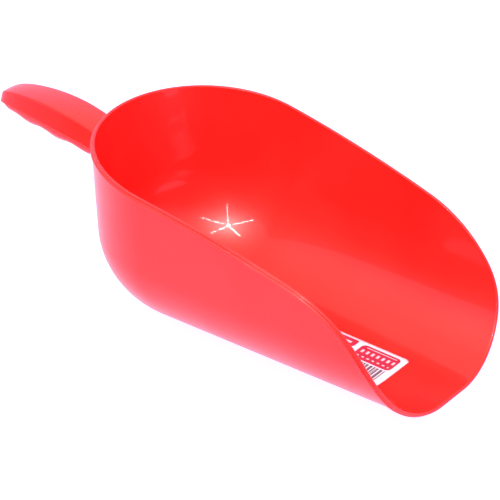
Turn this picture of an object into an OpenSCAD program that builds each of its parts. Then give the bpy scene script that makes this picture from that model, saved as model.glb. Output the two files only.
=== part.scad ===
// Feed scoop: a hand scoop for grain and pellets, with an open, round-backed bowl and a hollow
// handle of two moulded halves. Millimetres. +X points to the lip, +Z is up, the scoop stands on z = 0.

/* [Bowl] */
// Outside width of the wall at the rim, where the bowl is widest
bowl_w = 152; // [125:1:190]
// Length of the bowl, from its back to the tip of the lip
bowl_len = 259; // [215:1:320]
// Height of the rim at the back
bowl_h = 113; // [95:1:140]
// Thickness of the walls and the floor
wall = 2; // [1.5:0.1:4]
// Outside radius of the round corner between floor and wall
corner_r = 56.5; // [40:0.5:60]
// Lean of the walls, degrees from upright
draft = 2.75; // [1:0.25:4]
// Angle by which each side wall closes in towards the lip, degrees
taper = 1.75; // [0:0.25:3]

/* [Rim] */
// Straight length of the rim from the back
rim_straight = 15; // [5:1:30]
// Fall of the rim at the back, degrees
rim_slope = 3.4; // [1:0.1:6]
// Fall of the rim where the tight bend begins, degrees
knee_slope = 14.6; // [10:0.1:22]
// Fall of the rim at the lip, degrees
lip_slope = 72.5; // [60:0.5:80]
// Radius of the tight bend
knee_r = 89; // [60:1:105]
// Width of the ledge that stands out below the rim
ledge_w = 1; // [0.6:0.1:2]
// Height of the ledge
ledge_h = 2.8; // [1.5:0.1:5]
// Distance of the ledge below the rim's top edge
ledge_drop = 1.4; // [0.6:0.1:3]

/* [Handle] */
// Length of the handle, from the bowl's back to the tip
handle_len = 99.5; // [88:0.5:130]
// Greatest width
handle_w = 31.8; // [27:0.1:38]
// Width at the bowl
root_w = 29; // [22:0.1:36]
// Distance from the bowl to the widest place
widest_at = 40; // [32:1:50]
// Distance of the highest point of the handle below the rim
handle_drop = 14.7; // [12:0.1:30]
// Radius of the arch along the top
arch_r = 155; // [120:5:300]
// Lean of the shell's sides, degrees from upright
side_lean = 20; // [5:0.5:24]
// Radius of the long top edges
edge_r = 1.2; // [0.8:0.1:3]
// Distance of the seam's highest point below the handle's highest point
seam_drop = 12.1; // [9:0.1:14]
// Radius of the arch along the seam
seam_r = 370; // [300:5:500]
// Height of the tip's middle below the highest point
tip_drop = 12.8; // [10:0.1:18]
// Thickness of both halves of the handle
handle_wall = 2.2; // [1.6:0.1:3]

/* [Grip] */
// Depth of the whole handle at the bowl, from its highest point to the grip's underside
grip_depth = 27.6; // [25:0.1:34]
// Rise of the finger grip's underside towards the tip, degrees
grip_rise = 5; // [2:0.1:7]
// Distance from the bowl to the middle of the first finger groove
finger_at = 7; // [4:0.5:12]
// Distance between finger grooves
finger_pitch = 25; // [20:0.1:28]
// Depth of a finger groove
groove_depth = 2; // [0.5:0.1:3]
// Step inwards from the handle's side to the grip's side
grip_step = 0.7; // [0.3:0.1:2]
// Distance of the grip's end from the handle's tip
grip_setback = 6.5; // [5:0.5:10]
// Height of the tongue that locates the grip in the handle
tongue_h = 2.4; // [1.5:0.1:3]
// Thickness of the tongue and of the stiffening ribs
tongue_t = 1.6; // [1:0.1:2.5]

/* [Joint] */
// Width of the tenon on the bowl's back
tenon_w = 8; // [6:0.1:10]
// Height of the tenon
tenon_h = 6; // [5:0.1:7]
// Length of the tenon
tenon_len = 10; // [8:0.5:16]
// Clearance on each side of the tenon and the tongue
fit_gap = 0.15; // [0.05:0.05:0.4]

/* [Label] */
// Length of the label along the scoop
label_l = 76; // [50:1:100]
// Width of the label
label_w = 46; // [30:1:50]
// Thickness of the label
label_t = 0.2; // [0.1:0.05:0.3]
// Radius of the label's corners
label_r = 3; // [1:0.5:6]
// Distance of the label's front edge from the tip of the lip
label_setback = 41.5; // [25:0.5:80]
// Distance of the label's middle to the right of the centre line
label_side = 8.7; // [0:0.1:12]

/* [Hidden] */
$fn = 96;

mid_w = bowl_w / 2;
// Centre of the corner arc in the cross-section: tangent to the floor and to the leaning wall
corner_x = mid_w - (corner_r + (bowl_h - corner_r) * sin(draft)) / cos(draft);
// The blank is taller and longer than the bowl and is trimmed by the rim's side view
trim = 12;
// Shifts the model so that its origin is under the middle of its length
mid_x = (handle_len - bowl_len) / 2;

handle_top = bowl_h - handle_drop;
tip_z = handle_top - tip_drop;
// Half the width and half the height of the blunt nose at the tip
tip_half_w = 3;
tip_half_h = 2.6;
// The highest points of the top and of the seam, as distances from the bowl
arch_at = widest_at + 17;
seam_at = widest_at + 40;
// Slope of the crowned top where it meets its long edges, degrees
crown = 5;
// The handle is solid around the tenon and a little past its end
root_len = tenon_len + 3;
// The underside rises towards the tip close to the end of the grip
grip_len = handle_len - grip_setback;
grip_round_at = 0.88 * grip_len;
// Exponent of the grip's cross-section, which is nearly an ellipse
grip_power = 2.4;
// The handle's halves start this far inside the bowl and are trimmed to its back
inlet = 8;
// Cuts run this far past the face that they open
overcut = 1;
// Least half-width and height of a section, so that every loft stays a solid
least = 0.4;
rib_count = 3;
rim_steps = 24;
body_steps = 16;
tip_steps = 14;
ring_steps = 24;
edge_steps = 4;
crown_steps = 6;
tongue_steps = 20;

// ---------------------------------------------------------------- bowl

// Half of the bowl's cross-section, from the middle out, grown outwards by g on every side
module half_section(g) {
    top = bowl_h + trim;
    tangent_x = corner_x + (corner_r + g) * cos(draft);
    tangent_z = corner_r - (corner_r + g) * sin(draft);
    top_x = mid_w + g / cos(draft) + trim * tan(draft);
    intersection() {
        translate([0, -g]) square([bowl_w, top + g]);
        union() {
            translate([corner_x, corner_r]) circle(corner_r + g);
            polygon([[0, -g], [corner_x, -g], [corner_x, corner_r], [tangent_x, tangent_z],
                     [top_x, top], [0, top]]);
        }
    }
}

// One side of the trough, from the middle of the round back to past the lip
module trough_side(g) {
    rotate([0, 0, -taper]) rotate([90, 0, 90]) linear_extrude(bowl_len) half_section(g);
}

// The bowl's outer form as a solid, grown outwards by g
module trough(g) {
    translate([mid_w, 0, 0]) {
        rotate([0, 0, 90 - taper]) rotate_extrude(angle = 180 + 2 * taper) half_section(g);
        trough_side(g);
        mirror([0, 1, 0]) trough_side(g);
    }
}

// Points of an arc of the rim that bends from one downward slope to another
function bend(start, r, from, to) =
    [for (k = [1:rim_steps])
        let (a = from + (to - from) * k / rim_steps)
        [start[0] + r * (sin(a) - sin(from)), start[1] - r * (cos(from) - cos(a))]];

// The radius of the long sweep follows from the length that the straight and the tight bend leave
knee_dx = knee_r * (sin(lip_slope) - sin(knee_slope));
knee_dz = knee_r * (cos(knee_slope) - cos(lip_slope));
sweep_z = bowl_h - rim_straight * tan(rim_slope) - knee_dz;
sweep_r = (bowl_len - rim_straight - knee_dx - sweep_z / tan(lip_slope))
    / (sin(knee_slope) - sin(rim_slope) - (cos(rim_slope) - cos(knee_slope)) / tan(lip_slope));

// The rim seen from the side, at a distance d inside its top edge
function rim_line(d) =
    let (
        back = [-trim, bowl_h + trim * tan(rim_slope) - d / cos(rim_slope)],
        start_z = bowl_h - rim_straight * tan(rim_slope) - d * cos(rim_slope),
        start = [rim_straight - d * sin(rim_slope), start_z],
        sweep = bend(start, sweep_r - d, rim_slope, knee_slope),
        knee = bend(sweep[rim_steps - 1], knee_r - d, knee_slope, lip_slope),
        lip = [bowl_len - d / sin(lip_slope), 0])
    concat([back, start], sweep, knee, [lip]);

// Everything below the rim line, as a block across the whole width
module below_rim(d) {
    line = rim_line(d);
    end = line[len(line) - 1];
    rotate([90, 0, 0]) linear_extrude(2 * bowl_w, center = true)
        polygon(concat(line, [[end[0], -trim], [-trim, -trim]]));
}

module floor_block() {
    translate([-trim, -bowl_w, 0]) cube([bowl_len + 2 * trim, 2 * bowl_w, bowl_h + 2 * trim]);
}

module rim_ledge() {
    intersection() {
        difference() {
            trough(ledge_w);
            trough(-wall / 2);
        }
        difference() {
            below_rim(ledge_drop);
            below_rim(ledge_drop + ledge_h);
        }
        floor_block();
    }
}

// The tenon on the bowl's back, or with a gap the socket that takes it
module tenon_block(gap) {
    translate([-tenon_len - gap, -tenon_w / 2 - gap, tenon_z - tenon_h / 2 - gap])
        cube([tenon_len + corner_r / 2, tenon_w + 2 * gap, tenon_h + 2 * gap]);
}

// Moves a part from the bowl's own zero to the model's origin
module in_frame() {
    translate([mid_x, 0, 0]) children();
}

module bowl() {
    color("red") in_frame() {
        intersection() {
            difference() {
                trough(0);
                trough(-wall);
            }
            below_rim(0);
        }
        rim_ledge();
        difference() {
            tenon_block(0);
            trough(-wall / 2);
        }
    }
}

// ---------------------------------------------------------------- handle
// Along the handle, u is the distance from the bowl's back towards the tip.

function arc_drop(u, r) = r - sqrt(r * r - u * u);

// Share of the full size that is left at u, rounding off to nothing at the end
function round_off(u, start, end, p, q) =
    pow(1 - pow(max(0, min(1, (u - start) / (end - start))), p), 1 / q);

function half_w(u) =
    u < widest_at
    ? root_w / 2 + (handle_w - root_w) / 2 * pow(sin(90 * max(0, u) / widest_at), 2)
    : max(tip_half_w, handle_w / 2 * round_off(u, widest_at, handle_len, 1.4, 4));

function towards_tip(u, z) = tip_z + (z - tip_z) * round_off(u, arch_at, handle_len, 10, 2);

function top_z(u) =
    tip_half_h + towards_tip(u, handle_top - tip_half_h - arc_drop(u - arch_at, arch_r));

function seam_z(u) =
    -tip_half_h + towards_tip(u, handle_top - seam_drop + tip_half_h - arc_drop(u - seam_at, seam_r));

tenon_z = (top_z(0) + seam_z(0)) / 2;

// Underside of the finger grip: a rising line with one groove for each finger
function grip_line(u) =
    handle_top - grip_depth + u * tan(grip_rise)
    + groove_depth / 2 * (1 + cos(360 * (u - finger_at) / finger_pitch));

function grip_z(u) =
    seam_z(u) - max(least, (seam_z(u) - grip_line(u)) * round_off(u, grip_round_at, grip_len, 3, 2));

function power(v, e) = sign(v) * pow(abs(v), e);

// The shell's cross-section on a flat base, as a ring of points at u: straight leaning sides, two
// rounded edges and a crowned top
function box_ring(u, half, base, height) =
    let (
        lean = min(side_lean, atan(half / (2 * height))),
        r = min(edge_r, 0.3 * half, 0.4 * height),
        foot = half - r / cos(lean),
        rise = (foot - (height - r) * tan(lean)) * tan(crown / 2),
        edge_z = height - rise - r * cos(crown),
        edge_y = foot - edge_z * tan(lean),
        top_r = (edge_y + r * sin(crown)) / sin(crown),
        middle_z = edge_z + (r - top_r) * cos(crown),
        edge = [for (k = [0:edge_steps])
            let (a = lean + (90 - crown - lean) * k / edge_steps)
            [-u, edge_y + r * cos(a), base + edge_z + r * sin(a)]],
        top = [for (k = [1:crown_steps - 1])
            let (a = crown - 2 * crown * k / crown_steps)
            [-u, top_r * sin(a), base + middle_z + top_r * cos(a)]],
        other = [for (k = [edge_steps:-1:0]) [-u, -edge[k][1], edge[k][2]]])
    concat([[-u, half, base]], edge, top, other, [[-u, -half, base]]);

// Half of a superellipse on a flat base, as a ring of points at u
function ring(u, half, base, height, n) =
    [for (i = [0:ring_steps])
        let (a = 180 * i / ring_steps)
        [-u, half * power(cos(a), 2 / n), base + height * pow(abs(sin(a)), 2 / n)]];

function stations(from, to) = concat(
    [for (k = [0:body_steps]) from + (widest_at - from) * k / body_steps],
    [for (k = [1:tip_steps]) widest_at + (to - widest_at) * sin(90 * k / tip_steps)]);

// Skin over a list of rings, closed by a flat cap at each end
module loft(rings, flip) {
    m = len(rings[0]);
    n = len(rings);
    sides = [for (k = [0:n - 2]) for (i = [0:m - 1])
        let (j = (i + 1) % m)
        [k * m + i, k * m + j, (k + 1) * m + j, (k + 1) * m + i]];
    first = [for (i = [m - 1:-1:0]) i];
    last = [for (i = [0:m - 1]) (n - 1) * m + i];
    faces = concat(sides, [first, last]);
    turned = [for (f = faces) [for (i = [len(f) - 1:-1:0]) f[i]]];
    polyhedron([for (r = rings) each r], flip ? turned : faces);
}

// The part of the handle above the seam, shrunk inwards by t
module upper_form(t, from) {
    cut = t > 0 ? overcut : 0;
    loft([for (u = stations(from, handle_len - t))
        let (half = max(least, half_w(u) - t) + cut * tan(side_lean))
        box_ring(u, half, seam_z(u) - cut, max(least, top_z(u) - t - seam_z(u)) + cut)], false);
}

// The part of the handle below the seam, shrunk inwards by t
module lower_form(t, from) {
    cut = t > 0 ? overcut : 0;
    loft([for (u = stations(from, grip_len - t))
        let (half = max(least, half_w(u) - grip_step - t))
        ring(u, half, seam_z(u) + cut, -max(least, seam_z(u) - grip_z(u) - t) - cut, grip_power)], true);
}

// A band along the seam with leaning sides, a distance t inside the handle's outline
module seam_band(t, from, to, low, high) {
    loft([for (k = [0:tongue_steps])
        let (u = from + (to - from) * k / tongue_steps, z = seam_z(u))
        let (foot = half_w(u) - t + low * tan(side_lean), head = half_w(u) - t - high * tan(side_lean))
        [[-u, foot, z - low], [-u, head, z + high], [-u, -head, z + high], [-u, -foot, z - low]]], false);
}

module handle_shell() {
    color("tomato") in_frame() difference() {
        upper_form(0, -inlet);
        upper_form(handle_wall, root_len);
        tenon_block(fit_gap);
        trough(0);
    }
}

// A raised rim on the grip that locates it inside the shell's side walls
module tongue() {
    from = root_len + overcut;
    to = seam_at - tongue_h;
    inset = handle_wall + fit_gap;
    difference() {
        seam_band(inset, from, to, overcut, tongue_h);
        seam_band(inset + tongue_t, from + tongue_t, to - tongue_t, 2 * overcut, tongue_h + overcut);
    }
}

// Stiffening ribs across the inside of the grip, one between each two finger grooves
module ribs() {
    intersection() {
        lower_form(handle_wall / 2, -inlet);
        for (k = [0:rib_count - 1])
            let (u = finger_at + (k + 0.5) * finger_pitch)
                translate([-u - tongue_t / 2, -handle_w, 0])
                    cube([tongue_t, 2 * handle_w, seam_z(u) - overcut]);
    }
}

module finger_grip() {
    color("salmon") in_frame() {
        difference() {
            lower_form(0, -inlet);
            lower_form(handle_wall, handle_wall);
            trough(0);
        }
        tongue();
        ribs();
    }
}

// ---------------------------------------------------------------- label

module label_outline() {
    translate([bowl_len - label_setback - label_l / 2, -label_side])
        union() {
            square([label_l - 2 * label_r, label_w], center = true);
            square([label_l, label_w - 2 * label_r], center = true);
            for (x = [-1, 1]) for (y = [-1, 1])
                translate([x * (label_l / 2 - label_r), y * (label_w / 2 - label_r)]) circle(label_r);
        }
}

module label() {
    color("white") in_frame() intersection() {
        difference() {
            trough(-wall);
            trough(-wall - label_t);
        }
        linear_extrude(corner_r) label_outline();
    }
}

bowl();
handle_shell();
finger_grip();
label();
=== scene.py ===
"""Red plastic feed scoop: smooth meshes, materials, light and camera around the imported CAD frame."""
import math

import bmesh
import bpy
import numpy as np
from mathutils import Matrix, Vector


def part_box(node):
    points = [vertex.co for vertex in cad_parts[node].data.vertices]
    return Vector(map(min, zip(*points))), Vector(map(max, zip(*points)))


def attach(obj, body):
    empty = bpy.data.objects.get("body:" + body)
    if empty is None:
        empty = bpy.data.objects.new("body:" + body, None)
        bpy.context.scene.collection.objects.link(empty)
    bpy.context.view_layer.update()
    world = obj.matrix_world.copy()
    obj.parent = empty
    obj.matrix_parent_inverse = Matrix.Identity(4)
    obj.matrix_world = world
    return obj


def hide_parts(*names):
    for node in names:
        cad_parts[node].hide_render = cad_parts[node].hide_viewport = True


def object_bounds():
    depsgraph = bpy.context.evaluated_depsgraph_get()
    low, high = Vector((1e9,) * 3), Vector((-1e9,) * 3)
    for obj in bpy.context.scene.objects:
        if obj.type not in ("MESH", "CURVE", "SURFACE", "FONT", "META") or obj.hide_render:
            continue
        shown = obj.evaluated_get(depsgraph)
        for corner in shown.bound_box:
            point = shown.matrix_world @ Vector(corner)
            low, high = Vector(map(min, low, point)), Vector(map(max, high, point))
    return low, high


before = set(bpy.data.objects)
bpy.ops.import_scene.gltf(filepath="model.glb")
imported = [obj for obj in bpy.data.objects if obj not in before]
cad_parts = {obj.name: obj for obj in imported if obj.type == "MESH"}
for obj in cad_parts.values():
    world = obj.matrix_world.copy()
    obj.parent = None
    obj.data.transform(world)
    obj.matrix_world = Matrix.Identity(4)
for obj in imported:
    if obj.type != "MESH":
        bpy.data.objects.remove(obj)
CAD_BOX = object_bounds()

MM = 0.001

# ------------------------------------------------------------------ sizes, in millimetres
# Everything is worked out in the bowl's own zero, where x = 0 is the bowl's back, and then moved to
# the frame. The overall sizes come from the frame's boxes, and the rest repeats the design's values.
bowl_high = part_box("bowl")[1]
shell_low, shell_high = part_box("handle_shell")
label_low, label_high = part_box("label")

BOWL_LEN = 259.0
BOWL_H = bowl_high.z / MM
BACK_X = bowl_high.x / MM - BOWL_LEN
BOWL_W = 152.0
MID_W = BOWL_W / 2
WALL = 2.0
CORNER_R = 56.5
DRAFT = math.radians(2.75)
TAPER = math.radians(1.75)
CORNER_X = MID_W - (CORNER_R + (BOWL_H - CORNER_R) * math.sin(DRAFT)) / math.cos(DRAFT)

RIM_STRAIGHT = 15.0
RIM_SLOPE = math.radians(3.4)
KNEE_SLOPE = math.radians(14.6)
LIP_SLOPE = math.radians(72.5)
KNEE_R = 89.0
LEDGE_W = 1.0
LEDGE_H = 2.8
LEDGE_DROP = 1.4
EDGE_R = 0.8

HANDLE_LEN = BACK_X - shell_low.x / MM
HANDLE_W = (shell_high.y - shell_low.y) / MM
ROOT_W = 29.0
WIDEST_AT = 40.0
SIDE_LEAN = math.radians(20)
TOP_EDGE_R = 1.2
CROWN = math.radians(5)
HANDLE_DROP, SEAM_DROP, TIP_DROP = 14.7, 12.1, 12.8
HANDLE_TOP = BOWL_H - HANDLE_DROP
ARCH_AT, ARCH_R = WIDEST_AT + 17, 155.0
SEAM_AT, SEAM_R = WIDEST_AT + 40, 370.0
TIP_Z = HANDLE_TOP - TIP_DROP
TIP_HALF_W, TIP_HALF_H = 3.0, 2.6
GRIP_SETBACK = 6.5
GRIP_LEN = HANDLE_LEN - GRIP_SETBACK
GRIP_ROUND_AT = 0.88 * GRIP_LEN
GRIP_POWER = 2.4
GRIP_DEPTH = 27.6
GRIP_RISE = math.radians(5)
FINGER_AT, FINGER_PITCH = 7.0, 25.0
GROOVE_DEPTH = 2.0
GRIP_STEP = 0.7
HANDLE_WALL = 2.2
# The grip's sections stay at least this large
LEAST = 0.4
# A wall takes at most this share of a section's half-width or height
WALL_SHARE = 0.45

LABEL_T = 0.2
LABEL_R = 3.0


# ------------------------------------------------------------------ mesh helpers
def to_frame(points):
    """Points in millimetres from the bowl's zero, as metres in the frame."""
    out = np.array(points, float)
    out[:, 0] += BACK_X
    return out * MM


def add_mesh(name, points, faces, material):
    """A smooth-shaded mesh object with its doubled points welded and its faces turned outwards."""
    weld = 2e-6
    mesh = bpy.data.meshes.new(name)
    mesh.from_pydata([tuple(p) for p in to_frame(points)], [], faces)
    bm = bmesh.new()
    bm.from_mesh(mesh)
    bmesh.ops.remove_doubles(bm, verts=bm.verts, dist=weld)
    bmesh.ops.recalc_face_normals(bm, faces=bm.faces)
    bm.to_mesh(mesh)
    bm.free()
    mesh.polygons.foreach_set("use_smooth", [True] * len(mesh.polygons))
    mesh.materials.append(material)
    obj = bpy.data.objects.new(name, mesh)
    bpy.context.scene.collection.objects.link(obj)
    return obj


def ring_faces(rings, size):
    """Quads between neighbouring closed rings of points."""
    return [
        (k * size + i, k * size + (i + 1) % size, (k + 1) * size + (i + 1) % size, (k + 1) * size + i)
        for k in range(rings - 1)
        for i in range(size)
    ]


def smooth_step(a, b, x):
    """Rises smoothly from 0 at a to 1 at b."""
    t = np.clip((x - a) / (b - a), 0, 1)
    return t * t * (3 - 2 * t)


# ------------------------------------------------------------------ bowl
def section(d, g):
    """Half-width and height of the cross-section at path distance d from the middle, grown by g."""
    phi = np.clip((d - CORNER_X) / CORNER_R, 0, math.pi / 2 - DRAFT)
    up = np.maximum(0, d - CORNER_X - CORNER_R * (math.pi / 2 - DRAFT))
    half = np.minimum(d, CORNER_X) + (CORNER_R + g) * np.sin(phi) + up * math.sin(DRAFT)
    height = CORNER_R - (CORNER_R + g) * np.cos(phi) + up * math.cos(DRAFT)
    return half, height


def path_at_height(z, g):
    """Path distance d at which the cross-section grown by g reaches height z."""
    top_of_arc = CORNER_R - (CORNER_R + g) * math.sin(DRAFT)
    if z >= top_of_arc:
        return CORNER_X + CORNER_R * (math.pi / 2 - DRAFT) + (z - top_of_arc) / math.cos(DRAFT)
    return CORNER_X + CORNER_R * math.acos(max(-1, min(1, (CORNER_R - z) / (CORNER_R + g))))


def plane_path(x, y):
    """Path distance d of a point of the flattened plane, in which x runs along a side from the round
    back's axis and y = 0 is the bowl's middle line. Behind x = 0 the plane is polar, about that axis."""
    return np.where(x < 0, np.hypot(x, y), np.abs(y) + x * math.tan(TAPER))


def bowl_surface(x, y, g):
    """The bowl's surface, grown by g, over the flattened plane."""
    x, y, g = np.broadcast_arrays(np.array(x, float), np.array(y, float), np.array(g, float))
    back = x < 0
    half, height = section(plane_path(x, y), g)
    spread = (math.pi / 2 + TAPER) / (math.pi / 2)
    turn = math.pi / 2 - TAPER + np.arctan2(-x, np.abs(y)) * spread
    side = np.where(y < 0, -1.0, 1.0)
    px = np.where(back, half * np.cos(turn), x * math.cos(TAPER) + half * math.sin(TAPER))
    py = np.where(back, half * np.sin(turn), half * math.cos(TAPER) - x * math.sin(TAPER))
    return np.stack([MID_W + px, side * py, height], -1)


def rim_profile():
    """The rim's top edge seen from the side, from its straight stretch at the back to the lip."""
    knee_dx = KNEE_R * (math.sin(LIP_SLOPE) - math.sin(KNEE_SLOPE))
    knee_dz = KNEE_R * (math.cos(KNEE_SLOPE) - math.cos(LIP_SLOPE))
    x, z = RIM_STRAIGHT, BOWL_H - RIM_STRAIGHT * math.tan(RIM_SLOPE)
    run = BOWL_LEN - x - knee_dx - (z - knee_dz) / math.tan(LIP_SLOPE)
    bend = math.sin(KNEE_SLOPE) - math.sin(RIM_SLOPE)
    fall = (math.cos(RIM_SLOPE) - math.cos(KNEE_SLOPE)) / math.tan(LIP_SLOPE)
    back_run, overrun, steps = 20, 10, 120
    points = [(-back_run, BOWL_H + back_run * math.tan(RIM_SLOPE)), (x, z)]
    for radius, a, b in ((run / (bend - fall), RIM_SLOPE, KNEE_SLOPE), (KNEE_R, KNEE_SLOPE, LIP_SLOPE)):
        for t in np.linspace(a, b, steps + 1)[1:]:
            across, down = math.sin(t) - math.sin(a), math.cos(a) - math.cos(t)
            points.append((x + radius * across, z - radius * down))
        x, z = points[-1]
    points.append((BOWL_LEN + overrun / math.tan(LIP_SLOPE), -overrun))
    return np.array(points)


def rim_in_plane(g, count):
    """The rim's edge on the surface grown by g, as points of the flattened plane, evenly spaced from
    the middle of the lip to the middle of the back."""
    rim = rim_profile()
    lip_steps, corner_steps, side_steps, back_steps, rounds = 12, 160, 400, 120, 8

    def height_at(x):
        return np.interp(x, rim[:, 0], rim[:, 1])

    def length_at(z):
        return np.interp(-z, -rim[:, 1], rim[:, 0])

    middle = (length_at(-g) - MID_W) * math.sin(TAPER)
    points = [(length_at(-g), d) for d in np.linspace(middle, CORNER_X, lip_steps, endpoint=False)]
    # Up to this place the rim is found from the corner's arc, and beyond it from its distance along x
    arc_end = CORNER_X + CORNER_R * math.radians(60)
    for d in np.linspace(CORNER_X, arc_end, corner_steps, endpoint=False):
        points.append((length_at(section(d, g)[1]), d))
    lengths = length_at(section(arc_end, g)[1])
    for x in np.linspace(lengths, MID_W, side_steps):
        points.append((x, path_at_height(height_at(x), g)))
    plane = []
    for x, d in points:
        along = (x - MID_W - section(d, g)[0] * math.sin(TAPER)) / math.cos(TAPER)
        if along > 0:
            plane.append((along, d - along * math.tan(TAPER)))
    for part in np.linspace(0, 1, back_steps + 1):
        turn = math.pi / 2 - TAPER + part * (math.pi / 2 + TAPER)
        d = path_at_height(BOWL_H, g)
        for _ in range(rounds):
            d = path_at_height(height_at(MID_W + section(d, g)[0] * math.cos(turn)), g)
        plane.append((-d * math.sin(part * math.pi / 2), d * math.cos(part * math.pi / 2)))
    plane = np.array(plane)
    world = bowl_surface(plane[:, 0], plane[:, 1], g)
    travel = np.concatenate([[0], np.cumsum(np.linalg.norm(np.diff(world, axis=0), axis=1))])
    even = np.linspace(0, travel[-1], count)
    return np.stack([np.interp(even, travel, plane[:, 0]), np.interp(even, travel, plane[:, 1])], -1)


def around(half):
    """A half outline that starts and ends on the middle line, closed by its mirror image."""
    return np.concatenate([half, (half * [1, -1])[-2:0:-1]])


def inward(outline):
    """Unit directions across a closed outline of the plane, pointing to its inside."""
    inside = np.array([60.0, 0.0])
    along = np.roll(outline, -1, 0) - np.roll(outline, 1, 0)
    across = np.stack([-along[:, 1], along[:, 0]], -1)
    across /= np.linalg.norm(across, axis=1)[:, None]
    return across * np.sign((across * (inside - outline)).sum(1))[:, None]


def ledge_offset(depth, d):
    """How far the ledge stands out at a depth below the rim. It dies out towards the floor."""
    low, high = LEDGE_DROP, LEDGE_DROP + LEDGE_H
    edge, upper, lower = 0.15, 0.35, 0.4
    start = smooth_step(low - edge, low + upper, depth)
    end = smooth_step(high - lower, high + edge, depth)
    out = LEDGE_W * start * (1 - end)
    steepest, tiny = 1.2, 1e-9
    phi = np.clip((d - CORNER_X) / CORNER_R, 0, steepest)
    room = CORNER_R * (1 / np.cos(phi) - 1)
    return out * room / np.sqrt(room * room + out * out + tiny)


# Depths below the rim at which the outer surface has a ring: close together over the ledge's edges
LEDGE_DEPTHS = [0.8, 1.05, 1.25, 1.35, 1.42, 1.5, 1.6, 1.75, 2.0, 2.5, 3.1, 3.6, 3.8, 3.95, 4.05,
                4.15, 4.25, 4.35, 4.6, 5.2, 6.5]
INNER_DEPTHS = [0.8, 1.2, 2.0, 3.2, 4.8, 6.5]


def skin_rings(g, depths, outer):
    """Rings of one skin of the bowl, from the rim's edge inwards to the middle line of the floor."""
    half_count, inner_rings, spine_share = 170, 48, 0.62
    outline = around(rim_in_plane(g, half_count))
    across = inward(outline)
    rings = []
    for depth in depths:
        q = outline + across * depth
        ledge = ledge_offset(depth, plane_path(q[:, 0], q[:, 1])) if outer else 0
        rings.append(bowl_surface(q[:, 0], q[:, 1], g + ledge))
    last = outline + across * depths[-1]
    target = np.stack([spine_share * np.maximum(0, last[:, 0]), np.zeros(len(last))], -1)
    for k in range(1, inner_rings + 1):
        q = last + (target - last) * (k / inner_rings)
        rings.append(bowl_surface(q[:, 0], q[:, 1], g))
    edge = bowl_surface(outline[:, 0], outline[:, 1], g)
    return edge, rings


def rounded(start, corner, end, steps=5):
    """Points of a rounded corner between two points, without the two points themselves."""
    return [
        start * (1 - t) ** 2 + corner * (2 * t * (1 - t)) + end * t * t
        for t in np.linspace(0, 1, steps + 2)[1:-1]
    ]


def make_bowl(material):
    """Both skins of the bowl, joined over a rim with rounded edges."""
    edge_out, outer = skin_rings(0, LEDGE_DEPTHS, True)
    edge_in, inner = skin_rings(-WALL, INNER_DEPTHS, False)
    across = (edge_in - edge_out) / np.linalg.norm(edge_in - edge_out, axis=1)[:, None]
    top_out, top_in = edge_out + across * EDGE_R, edge_in - across * EDGE_R
    rings = outer[::-1] + rounded(outer[0], edge_out, top_out) + [top_out, top_in]
    rings += rounded(top_in, edge_in, inner[0]) + inner
    size = len(edge_out)
    return add_mesh("bowl_body", np.concatenate(rings), ring_faces(len(rings), size), material)


# ------------------------------------------------------------------ handle
def arc_drop(u, r):
    """Fall of an arc of radius r at a distance u from its highest point."""
    return r - math.sqrt(r * r - u * u)


def round_off(u, start, end, p, q):
    """Share of the full size that is left at u, rounding off to nothing at the end."""
    return (1 - max(0.0, min(1.0, (u - start) / (end - start))) ** p) ** (1 / q)


def half_width(u):
    """Half of the shell's width at u, from the root over the widest place to the nose."""
    if u < WIDEST_AT:
        return ROOT_W / 2 + (HANDLE_W - ROOT_W) / 2 * math.sin(math.pi / 2 * max(0, u) / WIDEST_AT) ** 2
    return max(TIP_HALF_W, HANDLE_W / 2 * round_off(u, WIDEST_AT, HANDLE_LEN, 1.4, 4))


def towards_tip(u, z):
    """A height z that is drawn in to the middle of the nose close to the tip."""
    return TIP_Z + (z - TIP_Z) * round_off(u, ARCH_AT, HANDLE_LEN, 10, 2)


def top_z(u):
    """Height of the top's middle line."""
    return TIP_HALF_H + towards_tip(u, HANDLE_TOP - TIP_HALF_H - arc_drop(u - ARCH_AT, ARCH_R))


def seam_z(u):
    """Height of the seam between the handle's halves."""
    arch = HANDLE_TOP - SEAM_DROP + TIP_HALF_H - arc_drop(u - SEAM_AT, SEAM_R)
    return -TIP_HALF_H + towards_tip(u, arch)


def grip_z(u):
    """Height of the grip's underside: a rising line with a groove for each finger."""
    wave = GROOVE_DEPTH / 2 * (1 + math.cos(2 * math.pi * (u - FINGER_AT) / FINGER_PITCH))
    line = HANDLE_TOP - GRIP_DEPTH + u * math.tan(GRIP_RISE) + wave
    depth = (seam_z(u) - line) * round_off(u, GRIP_ROUND_AT, GRIP_LEN, 3, 2)
    return seam_z(u) - max(LEAST, depth)


def half_ring(half, base, height):
    """Half of a superellipse on a flat base, from one side round to the other."""
    steps = 40
    a = np.linspace(0, math.pi, steps + 1)
    y = half * np.sign(np.cos(a)) * np.abs(np.cos(a)) ** (2 / GRIP_POWER)
    return np.stack([y, base + height * np.abs(np.sin(a)) ** (2 / GRIP_POWER)], -1)


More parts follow.
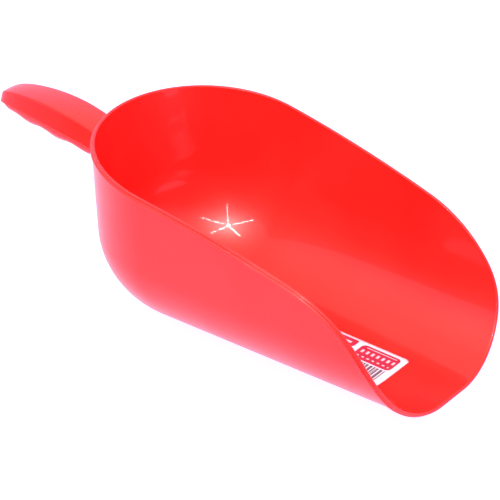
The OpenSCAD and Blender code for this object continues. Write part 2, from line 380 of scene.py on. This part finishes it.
def box_ring(half, base, height):
    """The shell's section on a flat base: straight leaning sides, rounded edges and a crowned top."""
    side_points, edge_points, top_points = 6, 8, 18
    lean = min(SIDE_LEAN, math.atan(half / (2 * height)))
    r = min(TOP_EDGE_R, 0.3 * half, 0.4 * height)
    foot = half - r / math.cos(lean)
    rise = (foot - (height - r) * math.tan(lean)) * math.tan(CROWN / 2)
    edge_z = height - rise - r * math.cos(CROWN)
    edge_y = foot - edge_z * math.tan(lean)
    top_r = (edge_y + r * math.sin(CROWN)) / math.sin(CROWN)
    middle_z = edge_z + (r - top_r) * math.cos(CROWN)
    turns = np.linspace(lean, math.pi / 2 - CROWN, edge_points)
    arc = np.stack([edge_y + r * np.cos(turns), edge_z + r * np.sin(turns)], -1)
    climb = np.linspace([half, 0], arc[0], side_points)[:-1]
    swings = np.linspace(CROWN, -CROWN, top_points)[1:-1]
    crown = np.stack([top_r * np.sin(swings), middle_z + top_r * np.cos(swings)], -1)
    one = np.concatenate([climb, arc])
    ring = np.concatenate([one, crown, one[::-1] * [-1, 1]])
    return ring + [0, base]


def seam_edge(outer, inner, r):
    """A closed channel section from its outer and inner half rings, with the outer lower edges rounded."""
    first, last, steps = outer[0], outer[-1], 3
    up = np.sign(outer[len(outer) // 2][1] - first[1]) * r
    left = rounded(first - [r, 0], first, first + [0, up], steps)
    right = rounded(last + [0, up], last, last + [r, 0], steps)
    body = [p for p in outer[1:-1] if (p[1] - first[1]) * np.sign(up) > r]
    body = resample(body, len(outer) - 2 * (steps + 1))
    return np.array([first - [r, 0]] + left + body + right + [last + [r, 0]] + list(inner[::-1]))


def resample(points, count):
    """The same line through a given number of points, spread evenly along the list."""
    points = np.array(points)
    t = np.linspace(0, len(points) - 1, count)
    k = np.arange(len(points))
    return [np.array([np.interp(v, k, points[:, 0]), np.interp(v, k, points[:, 1])]) for v in t]


def back_wall_x(y, z):
    """x of the bowl's back at a side distance y and height z, a little inside the surface."""
    bite = 0.5
    radius = section(path_at_height(z, 0), 0)[0] - bite
    return MID_W - math.sqrt(radius * radius - y * y)


def loft(name, sections, places, material):
    """A closed skin over channel sections along the handle, fitted to the bowl's back at its root."""
    points, blend = [], 12
    for u, ring in zip(places, sections):
        pull = 1 - float(smooth_step(0, blend, u))
        points += [(-u + pull * back_wall_x(y, z), y, z) for y, z in ring]
    size = len(sections[0])
    faces = ring_faces(len(sections), size)
    last = (len(sections) - 1) * size
    faces += [tuple(range(size))[::-1], tuple(range(last, last + size))]
    return add_mesh(name, points, faces, material)


def places_along(end):
    """Stations along the handle: close together at the root fillet and round the tip."""
    body_from, body_points, tip_points = 3.2, 56, 52
    root = [0, 0.25, 0.5, 0.8, 1.2, 1.7, 2.4]
    body = list(np.linspace(body_from, WIDEST_AT, body_points))
    turns = np.linspace(0, math.pi / 2, tip_points)[1:]
    return root + body + [WIDEST_AT + (end - WIDEST_AT) * math.sin(t) for t in turns]


def root_flare(u):
    """Extra size of the handle where it runs into the bowl, as a small fillet."""
    radius = 2.2
    return radius - math.sqrt(radius ** 2 - (radius - u) ** 2) if u < radius else 0.0


def make_handle_shell(material):
    """The upper half of the handle, hollow from below and closed at the nose."""
    sections = []
    places = places_along(HANDLE_LEN)
    edge, edge_share, shallow = 0.45, 0.2, 0.1
    nose = HANDLE_LEN - HANDLE_WALL
    for u in places:
        half, base = half_width(u) + root_flare(u), seam_z(u)
        height = top_z(u) - base + root_flare(u)
        wall = min(HANDLE_WALL, WALL_SHARE * half, WALL_SHARE * height)
        outer = box_ring(half, base, height)
        hollow = (1 - float(smooth_step(nose - HANDLE_WALL, nose, u))) * (height - wall)
        inner = box_ring(half - wall, base, max(shallow, hollow))
        sections.append(seam_edge(outer, inner, min(edge, edge_share * half)))
    return loft("handle_shell_body", sections, places, material)


def make_finger_grip(material):
    """The lower half of the handle, hollow from above and lifted a little into the shell."""
    sections = []
    places = places_along(GRIP_LEN)
    lift, flare_share = 0.3, 0.8
    for u in places:
        half = max(LEAST, half_width(u) - GRIP_STEP) + flare_share * root_flare(u)
        base = seam_z(u) + lift
        height = base - grip_z(u) + root_flare(u)
        wall = min(HANDLE_WALL, WALL_SHARE * half, WALL_SHARE * height)
        outer = half_ring(half, base, -height)
        inner = half_ring(half - wall, base, wall - height)
        sections.append(np.concatenate([outer, inner[::-1]]))
    return loft("finger_grip_body", sections, places, material)


# ------------------------------------------------------------------ label
def inner_height(x, y, g):
    """Height of the bowl's surface grown by g at a place ahead of the round back."""
    half = np.abs(y) * math.cos(TAPER) + (x - MID_W) * math.sin(TAPER)
    over = np.maximum(0, half - CORNER_X)
    return CORNER_R - np.sqrt((CORNER_R + g) ** 2 - over ** 2)


def make_label(material):
    """A thin closed film on the bowl's floor, in rings that shrink to the label's middle line."""
    arc_points, side_points, gap, steps = 9, 25, 0.02, 14
    x0, x1 = label_low.x / MM - BACK_X, label_high.x / MM - BACK_X
    y0, y1 = label_low.y / MM, label_high.y / MM
    corners = [(x1 - LABEL_R, y1 - LABEL_R, 0), (x0 + LABEL_R, y1 - LABEL_R, 90),
               (x0 + LABEL_R, y0 + LABEL_R, 180), (x1 - LABEL_R, y0 + LABEL_R, 270)]
    outline = []
    for k, (cx, cy, start) in enumerate(corners):
        turns = np.radians(np.linspace(start, start + 90, arc_points))
        outline += [(cx + LABEL_R * math.cos(t), cy + LABEL_R * math.sin(t)) for t in turns]
        nx, ny, nstart = corners[(k + 1) % 4]
        next_turn = math.radians(nstart)
        a = np.array(outline[-1])
        b = np.array([nx + LABEL_R * math.cos(next_turn), ny + LABEL_R * math.sin(next_turn)])
        outline += [tuple(a + (b - a) * t) for t in np.linspace(0, 1, side_points)[1:-1]]
    outline = np.array(outline)
    middle = np.array([(x0 + x1) / 2, (y0 + y1) / 2])
    reach = np.array([(x1 - x0 - (y1 - y0)) / 2, 0])
    spine = middle + np.clip((outline - middle) / reach[0], -1, 1) * reach
    rings = []
    for g in (-WALL - LABEL_T, -WALL - gap):
        layer = []
        for t in np.linspace(0, 1, steps):
            q = spine + (outline - spine) * t
            layer.append(np.column_stack([q, inner_height(q[:, 0], q[:, 1], g)]))
        rings += layer if g < -WALL - gap else layer[::-1]
    return add_mesh("label_film", np.concatenate(rings), ring_faces(len(rings), len(outline)), material)


# ------------------------------------------------------------------ materials
class Nodes:
    """A short way to write a material's node tree."""

    def __init__(self, name):
        self.material = bpy.data.materials.new(name)
        self.material.use_nodes = True
        self.tree = self.material.node_tree
        self.tree.nodes.clear()
        self.out = self.add("ShaderNodeOutputMaterial")
        self.shader = self.add("ShaderNodeBsdfPrincipled")
        self.link(self.shader.outputs["BSDF"], self.out.inputs["Surface"])
        self.place = self.add("ShaderNodeTexCoord").outputs["Object"]

    def add(self, kind, **values):
        node = self.tree.nodes.new(kind)
        for key, value in values.items():
            setattr(node, key, value)
        return node

    def link(self, a, b):
        self.tree.links.new(a, b)

    def put(self, socket, value):
        if isinstance(value, bpy.types.NodeSocket):
            self.link(value, socket)
        else:
            socket.default_value = value

    def noise(self, scale, detail=3.0, stretch=(1, 1, 1), rough=0.5):
        mapping = self.add("ShaderNodeMapping")
        mapping.inputs["Scale"].default_value = stretch
        self.link(self.place, mapping.inputs["Vector"])
        node = self.add("ShaderNodeTexNoise")
        node.inputs["Scale"].default_value = scale
        node.inputs["Detail"].default_value = detail
        node.inputs["Roughness"].default_value = rough
        self.link(mapping.outputs["Vector"], node.inputs["Vector"])
        return node.outputs["Fac"]

    def ramp(self, value, low, high, to_low=0.0, to_high=1.0):
        node = self.add("ShaderNodeMapRange", clamp=True)
        keys = ("Value", "From Min", "From Max", "To Min", "To Max")
        for key, v in zip(keys, (value, low, high, to_low, to_high)):
            self.put(node.inputs[key], v)
        return node.outputs["Result"]

    def math(self, operation, a, b=0.0):
        node = self.add("ShaderNodeMath", operation=operation)
        self.put(node.inputs[0], a)
        self.put(node.inputs[1], b)
        return node.outputs["Value"]

    def mix(self, factor, a, b):
        node = self.add("ShaderNodeMix", data_type="RGBA")
        self.put(node.inputs["Factor"], factor)
        self.put(node.inputs["A"], a)
        self.put(node.inputs["B"], b)
        return node.outputs["Result"]

    def bump(self, height, strength, distance, normal=None):
        node = self.add("ShaderNodeBump")
        node.inputs["Strength"].default_value = strength
        node.inputs["Distance"].default_value = distance
        self.link(height, node.inputs["Height"])
        if normal is not None:
            self.link(normal, node.inputs["Normal"])
        return node.outputs["Normal"]

    def split(self):
        node = self.add("ShaderNodeSeparateXYZ")
        self.link(self.place, node.inputs["Vector"])
        return node.outputs["X"], node.outputs["Y"], node.outputs["Z"]


def moulded_red(name, roughness, scuffs):
    """Glossy moulded polyethylene: nearly even red, a faint orange peel, scuffs, and paler convex edges
    that are partly a painted edge highlight and partly wear.
    """
    n = Nodes(name)
    # The third colour is the paler edge colour: partly a painted edge highlight, partly wear
    deep, red, edge_highlight_and_wear = (0.86, 0.009, 0.007, 1), (0.93, 0.013, 0.010, 1), (0.93, 0.04, 0.036, 1)
    clouds = n.ramp(n.noise(scale=14, detail=2), 0.35, 0.65)
    colour = n.mix(clouds, deep, red)
    geometry = n.add("ShaderNodeNewGeometry")
    # Paler colour on convex edges, in patches: partly a painted highlight where the edges catch the light,
    # partly pale wear
    edges = n.ramp(geometry.outputs["Pointiness"], 0.53, 0.60)
    lit_and_rubbed_patches = n.ramp(n.noise(scale=160, detail=4), 0.42, 0.62, to_low=0.0, to_high=0.6)
    lit_and_rubbed_edges = n.math("MULTIPLY", edges, lit_and_rubbed_patches)
    n.link(n.mix(lit_and_rubbed_edges, colour, edge_highlight_and_wear), n.shader.inputs["Base Color"])

    scratch = n.ramp(n.noise(scale=90, detail=6, stretch=(0.25, 6, 6), rough=0.7), 0.60, 0.66)
    places = n.ramp(n.noise(scale=9, detail=3), 0.45, 0.60, to_low=0.0, to_high=scuffs)
    scuff = n.math("MULTIPLY", scratch, places)
    smoother, rougher, rub_roughness = roughness * 0.88, roughness * 1.15, 0.2
    patch = n.ramp(n.noise(scale=22, detail=4), 0.3, 0.7, to_low=smoother, to_high=rougher)
    wear = n.math("ADD", scuff, n.math("MULTIPLY", lit_and_rubbed_edges, rub_roughness))
    n.link(n.math("ADD", patch, wear), n.shader.inputs["Roughness"])

    peel = n.bump(n.noise(scale=420, detail=2), strength=0.10, distance=0.00012)
    fine = n.bump(n.noise(scale=5200, detail=2), strength=0.08, distance=0.00003, normal=peel)
    n.link(fine, n.shader.inputs["Normal"])
    n.shader.inputs["IOR"].default_value = 1.33
    n.shader.inputs["Coat Weight"].default_value = 0.3
    n.shader.inputs["Coat Roughness"].default_value = 0.04
    return n.material


def printed_film(name):
    """White sticker with plain red panels, pale blocks in rows and a block of dark bars."""
    n = Nodes(name)
    x, y, _ = n.split()
    soft = 0.12 * MM

    def beyond(value, low, high, r):
        """Distance past the straight part of a panel's side, in one direction."""
        off = n.math("ABSOLUTE", n.math("SUBTRACT", value, (low + high) / 2))
        return n.math("MAXIMUM", n.math("SUBTRACT", off, (high - low) / 2 - r), 0.0)

    def panel(left, right, low, high, r=0.2):
        """A mask with rounded corners, in millimetres from the label's lower left corner."""
        x0, y0 = label_low.x, label_low.y
        across = beyond(x, x0 + left * MM, x0 + right * MM, r * MM)
        up = beyond(y, y0 + low * MM, y0 + high * MM, r * MM)
        far = n.math("SQRT", n.math("ADD", n.math("POWER", across, 2.0), n.math("POWER", up, 2.0)))
        return n.ramp(far, r * MM + soft, r * MM - soft)

    def stripes(per_metre, low, high):
        """A mask that repeats along the label, with a soft edge between two shares of its period."""
        return n.ramp(n.math("FRACT", n.math("MULTIPLY", x, per_metre)), low, high)

    def either(*masks):
        out = masks[0]
        for m in masks[1:]:
            out = n.math("MAXIMUM", out, m)
        return out

    def both(a, b):
        return n.math("MULTIPLY", a, b)

    left_panel, right_panel = panel(4, 39.5, 36.8, 44.3, 1.5), panel(43.4, 72.2, 28, 43.4, 3.2)
    red_panels = either(left_panel, right_panel)
    title, thin_row = panel(20, 36, 39.4, 41.2), panel(47, 69.5, 41.0, 41.6)
    tall_row, low_row = panel(45.8, 70.5, 35.2, 38.4), panel(45.8, 70, 30.8, 32.0)
    rows = either(title, thin_row, tall_row, low_row)
    gaps = both(stripes(260.0, 0.40, 0.50), panel(44, 72, 30, 39))
    blocks = both(rows, n.math("SUBTRACT", 1.0, gaps))
    specks = n.ramp(n.noise(scale=900, detail=1, stretch=(1, 0.05, 0.05)), 0.46, 0.50)
    small_print = both(panel(6, 38, 29, 33), specks)
    bars = both(either(stripes(410.0, 0.56, 0.50), stripes(690.0, 0.40, 0.34)), panel(46, 70.8, 5, 27))

    shaded, lit = (0.50, 0.45, 0.54, 1), (0.57, 0.52, 0.62, 1)
    panel_red, print_red, black = (0.29, 0.008, 0.034, 1), (0.55, 0.02, 0.06, 1), (0.03, 0.03, 0.045, 1)
    pale_ink, dark_ink = 0.75, 0.93
    paper = n.mix(n.noise(scale=60, detail=3), shaded, lit)
    colour = n.mix(red_panels, paper, panel_red)
    colour = n.mix(n.math("MULTIPLY", blocks, pale_ink), colour, paper)
    colour = n.mix(n.math("MULTIPLY", small_print, pale_ink), colour, print_red)
    colour = n.mix(n.math("MULTIPLY", bars, dark_ink), colour, black)
    n.link(colour, n.shader.inputs["Base Color"])
    satin = n.ramp(n.noise(scale=300, detail=3), 0.3, 0.7, to_low=0.38, to_high=0.52)
    n.link(satin, n.shader.inputs["Roughness"])
    creases = n.bump(n.noise(scale=700, detail=3), strength=0.15, distance=0.00004)
    n.link(creases, n.shader.inputs["Normal"])
    return n.material


def floor_material():
    """A matt floor that glows, so that it stays nearly white beside the scoop."""
    n = Nodes("pale_floor")
    shade = n.ramp(n.noise(scale=3, detail=2), 0.3, 0.7, to_low=0.15, to_high=0.17)
    blend = n.add("ShaderNodeCombineColor")
    for key in ("Red", "Green", "Blue"):
        n.link(shade, blend.inputs[key])
    n.link(blend.outputs["Color"], n.shader.inputs["Base Color"])
    n.shader.inputs["Roughness"].default_value = 0.9
    n.shader.inputs["Emission Color"].default_value = (0.63, 0.62, 0.95, 1)
    n.shader.inputs["Emission Strength"].default_value = 1.5
    return n.material


# ------------------------------------------------------------------ object
bowl_red = moulded_red("bowl_plastic", roughness=0.36, scuffs=0.10)
handle_red = moulded_red("handle_plastic", roughness=0.28, scuffs=0.08)

PIECES = [
    (make_bowl(bowl_red), "bowl", "bowl_plastic"),
    (make_handle_shell(handle_red), "handle_shell", "handle_plastic"),
    (make_finger_grip(handle_red), "finger_grip", "handle_plastic"),
    (make_label(printed_film("label_print")), "label", "label_film"),
]
for piece, node, slot in PIECES:
    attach(piece, "root")
    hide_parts(node)

# ------------------------------------------------------------------ camera
CAD_MIDDLE = (CAD_BOX[0] + CAD_BOX[1]) / 2
AZIMUTH, ELEVATION, ROLL = math.radians(37.513), math.radians(31.448), math.radians(0.788)
DISTANCE = 1.552
TARGET = CAD_MIDDLE + Vector((0.0252, -0.0013, -0.0108))


def make_camera():
    """A long lens that looks down on the scoop from its right front, turned a little about its axis."""
    back = Vector((math.sin(AZIMUTH) * math.cos(ELEVATION), -math.cos(AZIMUTH) * math.cos(ELEVATION),
                   math.sin(ELEVATION)))
    right = Vector((math.cos(AZIMUTH), math.sin(AZIMUTH), 0))
    up = back.cross(right)
    turned_right = right * math.cos(ROLL) + up * math.sin(ROLL)
    turned_up = up * math.cos(ROLL) - right * math.sin(ROLL)
    data = bpy.data.cameras.new("camera")
    data.sensor_width, data.lens = 36, 180
    data.clip_start, data.clip_end = 0.05, 50
    camera = bpy.data.objects.new("camera", data)
    bpy.context.scene.collection.objects.link(camera)
    turn = Matrix((turned_right, turned_up, back)).transposed().to_4x4()
    camera.matrix_world = Matrix.Translation(TARGET + back * DISTANCE) @ turn
    bpy.context.scene.camera = camera


make_camera()


# ------------------------------------------------------------------ light and floor
def disc_light(name, place, aim, size, power, colour):
    """A round lamp at a place, turned to its aim."""
    data = bpy.data.lights.new(name, "AREA")
    data.shape, data.size, data.energy, data.color = "DISK", size, power, colour
    light = bpy.data.objects.new(name, data)
    bpy.context.scene.collection.objects.link(light)
    light.location = place
    light.rotation_mode = "QUATERNION"
    light.rotation_quaternion = (aim - place).to_track_quat("-Z", "Y")


def make_world():
    """A pale room: cooler walls, a warmer ceiling, and a dark patch low on the camera's side."""
    world = bpy.data.worlds.new("white_room")
    world.use_nodes = True
    tree = world.node_tree
    background = tree.nodes["Background"]

    def step(kind, **values):
        node = tree.nodes.new(kind)
        for key, value in values.items():
            setattr(node, key, value)
        return node

    direction = step("ShaderNodeTexCoord").outputs["Generated"]

    def along(axis, low, high):
        """Rises from 0 to 1 as the direction turns towards an axis."""
        dot = step("ShaderNodeVectorMath", operation="DOT_PRODUCT")
        tree.links.new(direction, dot.inputs[0])
        dot.inputs[1].default_value = axis
        ramp = step("ShaderNodeMapRange", interpolation_type="SMOOTHSTEP", clamp=True)
        tree.links.new(dot.outputs["Value"], ramp.inputs["Value"])
        ramp.inputs["From Min"].default_value, ramp.inputs["From Max"].default_value = low, high
        return ramp.outputs["Result"]

    def mix(factor, a, b):
        node = step("ShaderNodeMix", data_type="RGBA")
        tree.links.new(factor, node.inputs["Factor"])
        for key, value in (("A", a), ("B", b)):
            if isinstance(value, bpy.types.NodeSocket):
                tree.links.new(value, node.inputs[key])
            else:
                node.inputs[key].default_value = value
        return node.outputs["Result"]

    wall, ceiling, dark = (0.95, 1.1, 1.6, 1), (1.35, 1.25, 1.15, 1), (0.12, 0.05, 0.08, 1)
    lit = mix(along((0, 0, 1), 0.45, 0.9), wall, ceiling)
    shade = along((0.61, -0.79, -0.9), -0.15, 0.45)
    tree.links.new(mix(shade, lit, dark), background.inputs["Color"])
    bpy.context.scene.world = world


def make_floor():
    """A plain floor, whose near edge stays close to the scoop."""
    mesh = bpy.data.meshes.new("floor")
    near, far, gap = 0.34, 4.0, 0.0003
    corners = [(-far, -near, 0), (far, -near, 0), (far, far, 0), (-far, far, 0)]
    mesh.from_pydata(corners, [], [(0, 1, 2, 3)])
    mesh.materials.append(floor_material())
    floor = bpy.data.objects.new("floor", mesh)
    bpy.context.scene.collection.objects.link(floor)
    floor.location.z = CAD_BOX[0].z - gap


make_world()
make_floor()

# The key light is a small lamp in the middle of an open umbrella, whose ribs are thin bright strips
GLINT = CAD_BOX[0] + Vector((0.147, 0.124, 0.020))
LAMP_REACH = 1.5


def sky_point(azimuth, elevation):
    """A place round the glint, its azimuth in degrees from straight in front of the scoop's side."""
    a, e = math.radians(azimuth), math.radians(elevation)
    direction = Vector((math.sin(a) * math.cos(e), -math.cos(a) * math.cos(e), math.sin(e)))
    return GLINT + LAMP_REACH * direction


def strip_light(name, start, end, width, power):
    """A thin lamp from one place to another, facing the glint."""
    data = bpy.data.lights.new(name, "AREA")
    data.shape, data.size, data.size_y, data.energy = "RECTANGLE", (end - start).length, width, power
    light = bpy.data.objects.new(name, data)
    bpy.context.scene.collection.objects.link(light)
    middle = (start + end) / 2
    x_axis = (end - start).normalized()
    z_axis = (middle - GLINT).normalized()
    y_axis = z_axis.cross(x_axis).normalized()
    turn = Matrix((x_axis, y_axis, x_axis.cross(y_axis))).transposed().to_4x4()
    light.matrix_world = Matrix.Translation(middle) @ turn


HUB = sky_point(16.5, 55.5)
LAMP_SIZE, LAMP_POWER, LAMP_COLOUR = 0.07, 20, (1.0, 0.85, 0.78)
# Azimuth and elevation of each rib's outer end, in degrees
RIB_ENDS = [(26, 24), (-12, 38), (-14, 63), (46, 68), (58, 45)]
RIB_START, RIB_WIDTH, RIB_POWER = 0.12, 0.012, 4.5

disc_light("key_spot", HUB, GLINT, LAMP_SIZE, LAMP_POWER, LAMP_COLOUR)
for k, (azimuth, elevation) in enumerate(RIB_ENDS):
    tip = sky_point(azimuth, elevation)
    strip_light(f"umbrella_rib_{k + 1}", HUB.lerp(tip, RIB_START), tip, RIB_WIDTH, RIB_POWER)

bpy.context.scene.view_settings.view_transform = "Standard"
